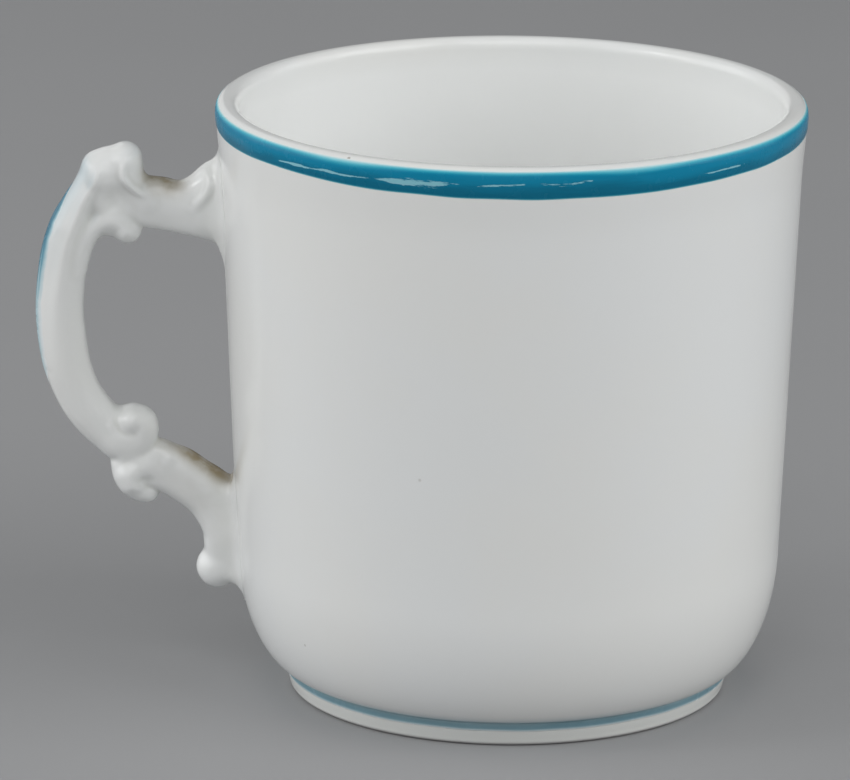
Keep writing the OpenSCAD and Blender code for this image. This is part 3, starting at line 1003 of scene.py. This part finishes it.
def outer_painted_shade(spots, outward):
    """Share of teal-grey painted shade on the handle's outer faces."""
    out, _, height = spots.T
    shade_share = sum(strength * smooth_step(height, low, high) for strength, low, high in OUTER_SHADE)
    shade_share *= (1 - smooth_step(height, *OUTER_SHADE_END_Z)) * smooth_step(out, *OUTER_SHADE_OUT)
    return shade_share * smooth_step(outward, *OUTER_SHADE_FACING)


def stains_and_arm_shade(spots, up):
    """Share of brown on the handle: the stains on its upper faces, and the film with painted shade over the
    arm.
    """
    out, side, height = spots.T
    lying = np.interp(up, STAIN_UP, (0, 1)) * np.interp(side, STAIN_SIDE, (0, 1))
    stains = sum(soft_line(points, out, height) for points in STAINS.values())
    return np.clip(stains * lying + soft_line(ARM_FILM_AND_SHADE, out, height), 0, 1)


def build_handle():
    """The scrolled handle, as a skin over its field, and the beds of slip in its feet."""
    field, beds = handle_fields()
    sampler = Sampler(field)
    places, quads = field_quads(field)
    spots = sampler.settle(places)
    piece = make_piece("glazed_handle", to_frame(spots), quads, "porcelain", ["handle"])
    run_out(piece, to_frame(spots))
    slope = sampler.slope(spots)
    outward, _, up = (slope / np.linalg.norm(slope, axis=1)[:, None]).T
    # Pooled glaze with painted shade in the handle's hollows, on its faces and at its roots
    set_mask(piece, "pool_and_shade", pooled_glaze_and_shade(sampler, spots))
    # Painted shade in teal-grey on the handle's outer faces
    set_mask(piece, "teal_shade", outer_painted_shade(spots, outward))
    # Stains on upper faces, and a brown film with painted shade over the arm
    set_mask(piece, "stain_and_shade", stains_and_arm_shade(spots, up))
    for name, rows in (("upper_slip", Z_AXIS > FINGER_GAP_Z), ("lower_slip", Z_AXIS < FINGER_GAP_Z)):
        places, quads = field_quads(beds[:, :, rows])
        places[:, 2] += Z_AXIS[rows][0] - Z_AXIS[0]
        make_piece("bed_of_" + name, to_frame(places), quads, "clay_slip", [name])
    return sampler


def waves(angles, seed, count=26):
    """Smooth closed wander about 0, the same on each run, for hand-painted edges."""
    draw = np.random.default_rng(seed)
    total = np.zeros(len(angles))
    for k in range(FIRST_WAVE, FIRST_WAVE + count):
        wave = np.sin(k * angles + draw.uniform(0, 2 * np.pi))
        total += wave * draw.uniform(LEAST_WAVE, 1) / k ** WAVE_POWER
    return total / np.abs(total).max()


def band_path():
    """The cup's outside past both edges of the rim band, each point's share of the band's height, and
    that height along the surface."""
    z = np.linspace(BAND_Z - BAND_PAST, LIP_Z, STEPS["band_wall"])
    wall = np.stack([wall_radius(z), z], -1)
    lip = lip_point(np.linspace(0, BAND_PAST_ANGLE, STEPS["band_lip"]))[1:]
    path = np.concatenate([wall, lip])
    run = np.concatenate([[0], np.cumsum(np.hypot(*np.diff(path, axis=0).T))])
    low = np.interp(BAND_Z, path[:, 1], run)
    high = np.interp(lip_point(BAND_TOP_ANGLE)[1], path[:, 1], run)
    return path, (run - low) / (high - low), high - low


BAND_PATH, BAND_SHARES, BAND_RUN = band_path()


def band_surface(share):
    """Point of the cup's outside at a share of the rim band's height, and the way out from it."""
    run = np.gradient(BAND_PATH, BAND_SHARES, axis=0)
    size = np.hypot(run[:, 0], run[:, 1])
    point = np.stack([np.interp(share, BAND_SHARES, BAND_PATH[:, k]) for k in (0, 1)], -1)
    out = np.stack([
        np.interp(share, BAND_SHARES, run[:, 1] / size),
        np.interp(share, BAND_SHARES, -run[:, 0] / size),
    ], -1)
    return point, out


# Angles round the cup for the painted rings, and the same in degrees from the front, -90 to 270
RING_ANGLES = np.linspace(0, 2 * np.pi, 2 * TURNS, endpoint=False)
RING_DEGREES = (np.degrees(RING_ANGLES) + 180) % 360 - 90


def painted_ring(name, node, surface, low, high, rows):
    """Closed skin of enamel on a turned surface between two edges, with its shares of the height and
    the numbers of the rows that its back repeats."""
    v = np.linspace(0, 1, rows)[:, None]
    share = low + (high - low) * v
    base, out = surface(share)
    lift = ENAMEL_T * (1 - np.abs(2 * v - 1) ** RING_EDGE_POWER) - ENAMEL_SINK
    back = np.linspace(rows - 1, 0, STEPS["ring_back"]).astype(int)
    section = np.concatenate([base + out * lift[..., None], base[back] - RING_BACK * out[back]])
    ring = np.stack([
        section[..., 0] * np.cos(RING_ANGLES),
        section[..., 0] * np.sin(RING_ANGLES),
        section[..., 1],
    ], -1)
    faces = ring_faces(rows + len(back), len(RING_ANGLES), rows_close=True)
    piece = make_piece(name, ring.reshape(-1, 3), faces, "teal_enamel", [node])
    return piece, share, back


def band_wear(share):
    """How worn the rim band is at places on it."""
    around = np.pi / 180 * RIM_R / BAND_RUN
    total = np.zeros(share.shape)
    for streak in BAND_WEAR:
        points = [[around * a, height, half, strength] for a, height, half, strength in streak]
        total = np.maximum(total, soft_line(points, around * RING_DEGREES * np.ones(share.shape), share))
    return total


def build_band():
    """The rim band, with painted shade on its lower half, worn in streaks, and brushed thin along its upper
    edge, with painted highlights where it pales most.
    """
    turn = np.radians(RING_DEGREES)
    painted = BAND_LOW + BAND_RISE_AT_SIDES * np.sin(turn) ** 2 - BAND_LEAN * np.sin(turn)
    low = painted + BAND_LOW_WANDER * waves(RING_ANGLES, seed=11)
    high = BAND_HIGH + BAND_HIGH_WANDER * waves(RING_ANGLES, seed=12)
    piece, share, back = painted_ring("enamel_band", "rim_band", band_surface, low, high, BAND_ROWS)
    # Painted highlights: the upper edge pales further at these angles
    thin = sum(np.exp(-((RING_DEGREES - angle) / half) ** 2) for angle, half in BAND_GLINTS)
    fade_from = BAND_FADE_FROM - BAND_GLINT_DEPTH * thin + BAND_FADE_WANDER * waves(RING_ANGLES, seed=13)
    fade = smooth_step(share, fade_from, BAND_FADE_TO) + smooth_step(low - share, -BAND_LOW_FADE, 0.0)
    # Painted shade: the band darkens towards its lower edge
    light = smooth_step(share + BAND_SHADE_WANDER * waves(RING_ANGLES, seed=14), *BAND_SHADE_SPAN)
    for mask_name, values in (("fade", fade), ("light", light), ("wear", band_wear(share))):
        set_mask(piece, mask_name, np.concatenate([values, values[back]]))


def line_surface(share):
    """Point of the foot's face at a share of the foot line's height, and the way out from it."""
    radius = np.full(share.shape, FOOT_R)
    out = np.stack([np.ones(share.shape), np.zeros(share.shape)], -1)
    return np.stack([radius, LINE_Z + (FOOT_H - LINE_Z) * share], -1), out


def build_line():
    """The foot line, brushed thin and soft at its lower edge."""
    low = LINE_LOW + LINE_LOW_WANDER * waves(RING_ANGLES, seed=31)
    high = np.ones(len(RING_ANGLES))
    piece, share, back = painted_ring("enamel_line", "foot_line", line_surface, low, high, LINE_ROWS)
    soft_edge = smooth_step(low - share, -LINE_LOW_FADE, 0.0)
    brushed = LINE_FADE + LINE_FADE_WANDER * waves(RING_ANGLES, seed=32)
    fade = np.maximum(brushed + LINE_TOP_FADE * smooth_step(share, *LINE_TOP), soft_edge)
    light = np.broadcast_to(LINE_LIGHT + LINE_LIGHT_WANDER * waves(RING_ANGLES, seed=33), share.shape)
    for mask_name, values in (("fade", fade), ("light", light), ("grey", np.ones(share.shape))):
        set_mask(piece, mask_name, np.concatenate([values, values[back]]))


def stroke_path():
    """The grip's path between the stroke's ends, as [distance out, height], and the way out from it."""
    path = catmull(GRIP, STROKE_STEPS)[:, :2]
    first, last = (np.argmax(path[:, 1] < z) for z in STROKE_Z)
    path = path[first:last]
    run = np.gradient(path, axis=0)
    run /= np.linalg.norm(run, axis=1)[:, None]
    return path, np.stack([-run[:, 1], run[:, 0]], -1)


def build_stroke(sampler):
    """The brush stroke down the handle's spine, laid on the handle's own surface."""
    path, out = stroke_path()
    s = np.linspace(0, 1, len(path))
    v = np.linspace(-1, 1, STROKE_COLUMNS)
    from_tip = np.minimum(s / STROKE_TIPS[0], (1 - s) / STROKE_TIPS[1])
    open_up = np.clip(from_tip, 0, 1) ** STROKE_TIP_POWER
    half_angle = np.interp(s, (0, 1), STROKE_HALF_ANGLE)
    near_edge = half_angle + STROKE_WANDER * waves(2 * np.pi * s, seed=51)
    far_edge = half_angle + STROKE_WANDER * waves(2 * np.pi * s, seed=52)
    reach = np.where(v[None, :] < 0, near_edge[:, None], far_edge[:, None]) * open_up[:, None]
    angle = np.radians(v[None, :] * reach)
    way = np.stack([
        np.cos(angle) * out[:, None, 0],
        np.sin(angle),
        np.cos(angle) * out[:, None, 1],
    ], -1)
    centre = np.stack([path[:, 0], np.zeros(len(path)), path[:, 1]], -1)[:, None, :]
    far = np.full(angle.shape, SEARCH_FROM)
    for _ in range(SEARCH_ROUNDS):
        probe = (centre + way * far[..., None]).reshape(-1, 3)
        far -= SEARCH_STEP * sampler.distance(probe).reshape(far.shape)
    crown = 1 - np.abs(v[None, :]) ** STROKE_EDGE_POWER
    lift = ENAMEL_T * crown * open_up[:, None] - ENAMEL_SINK
    skin = centre + way * (far + lift)[..., None]
    back = centre + way * (far - STROKE_BACK)[..., None]
    loops = np.concatenate([skin, back[:, ::-1]], axis=1)
    rows, columns = loops.shape[:2]
    faces = ring_faces(rows, columns)
    faces.append(list(range(columns)))
    faces.append([(rows - 1) * columns + j for j in range(columns)])
    piece = make_piece(
        "enamel_stroke", to_frame(loops.reshape(-1, 3)), faces, "teal_enamel", ["handle_stroke"]
    )
    edge_from = np.interp(s, (0, 1), STROKE_EDGE_FROM)[:, None]
    edge = STROKE_EDGE_FADE * smooth_step(np.abs(v)[None, :], edge_from, 1.0)
    hairs = STROKE_HAIRS * waves(np.pi * v, seed=53, count=STROKE_HAIR_WAVES)
    thinned = STROKE_THIN_FADE * smooth_step(s[:, None] + hairs[None, :], *STROKE_THIN)
    fade = 1 - (1 - edge) * (1 - thinned)
    for mask_name, values in (("fade", fade), ("grey", np.full(fade.shape, STROKE_GREY))):
        set_mask(piece, mask_name, np.concatenate([values, values[:, ::-1]], axis=1))


build_body()
build_foot()
build_foot_slip()
handle_sampler = build_handle()
build_band()
build_line()
build_stroke(handle_sampler)


# Stage, light and camera, in metres, degrees and watts

# Square soft boxes that face the cup, as [name, azimuth, elevation, distance, size, power].
# Azimuth 0 is the camera's side and 90 is the right.
SOFT_BOXES = [
    ["left_box", -63, 25, 0.95, 0.7, 1.95],
    ["left_small_box", -70, 32, 0.95, 0.17, 0.6],
    ["right_box", 62, 30, 0.95, 0.7, 3.5],
    ["left_side_box", -100, 20, 0.95, 0.7, 2.6],
    ["right_side_box", 100, 20, 0.95, 0.7, 1.6],
    ["left_back_box", -145, 15, 0.95, 0.9, 1.2],
    ["front_box", 0, 8, 1.2, 0.8, 0.75],
    ["high_box", 0, 45, 1.2, 0.8, 3.2],
]
SKY_COLOUR = (0.95, 0.98, 1.0, 1)
SKY_STRENGTH = 0.14
FLOOR_HALF = 1.6
FLOOR_DROP = 0.00001


def build_floor():
    """A wide plain floor, a hair below the foot."""
    half = FLOOR_HALF
    corners = [(-half, -half, 0), (half, -half, 0), (half, half, 0), (-half, half, 0)]
    mesh = bpy.data.meshes.new("floor")
    mesh.from_pydata(corners, [], [(0, 1, 2, 3)])
    mesh.materials.append(make_floor())
    floor = new_object("floor", mesh)
    floor.location.z = -FLOOR_DROP


def soft_box(name, azimuth, elevation, distance, size, power):
    """Square area light that faces the cup, hidden from the camera."""
    light = bpy.data.lights.new(name, "AREA")
    light.shape = "SQUARE"
    light.size = size
    light.energy = power
    lamp = new_object(name, light)
    a, e = math.radians(azimuth), math.radians(elevation)
    lamp.location = (
        distance * math.sin(a) * math.cos(e),
        -distance * math.cos(a) * math.cos(e),
        distance * math.sin(e) + CUP_H / 2 * MM,
    )
    lamp.rotation_euler = (math.pi / 2 - e, 0, a)
    lamp.visible_camera = False


def build_camera():
    """Camera as fitted to the rim, the foot and both sides of the cup in the photograph."""
    elevation = math.radians(15.4756)
    yaw = math.radians(-0.66)
    roll = math.radians(0.363)
    distance = 0.724138
    aim_height = 0.028889
    ahead = np.array([
        math.sin(yaw) * math.cos(elevation),
        math.cos(yaw) * math.cos(elevation),
        -math.sin(elevation),
    ])
    right = np.array([math.cos(yaw), -math.sin(yaw), 0])
    up = np.cross(right, ahead)
    side = math.cos(roll) * right + math.sin(roll) * up
    top = math.cos(roll) * up - math.sin(roll) * right
    data = bpy.data.cameras.new("camera")
    data.sensor_width = 36
    data.lens = 320.78
    data.clip_start = 0.01
    data.clip_end = 20
    camera = new_object("camera", data)
    turn = Matrix([[side[k], top[k], -ahead[k]] for k in range(3)]).to_4x4()
    spot = (0, -distance * math.cos(elevation), aim_height + distance * math.sin(elevation))
    camera.matrix_world = Matrix.Translation(spot) @ turn
    bpy.context.scene.camera = camera


def build_light():
    """The soft boxes, and a faint even light from all round."""
    for settings in SOFT_BOXES:
        soft_box(*settings)
    world = bpy.data.worlds.new("studio")
    world.use_nodes = True
    sky = world.node_tree.nodes["Background"]
    sky.inputs["Color"].default_value = SKY_COLOUR
    sky.inputs["Strength"].default_value = SKY_STRENGTH
    bpy.context.scene.world = world
    bpy.context.scene.view_settings.view_transform = "Standard"


build_floor()
build_light()
build_camera()
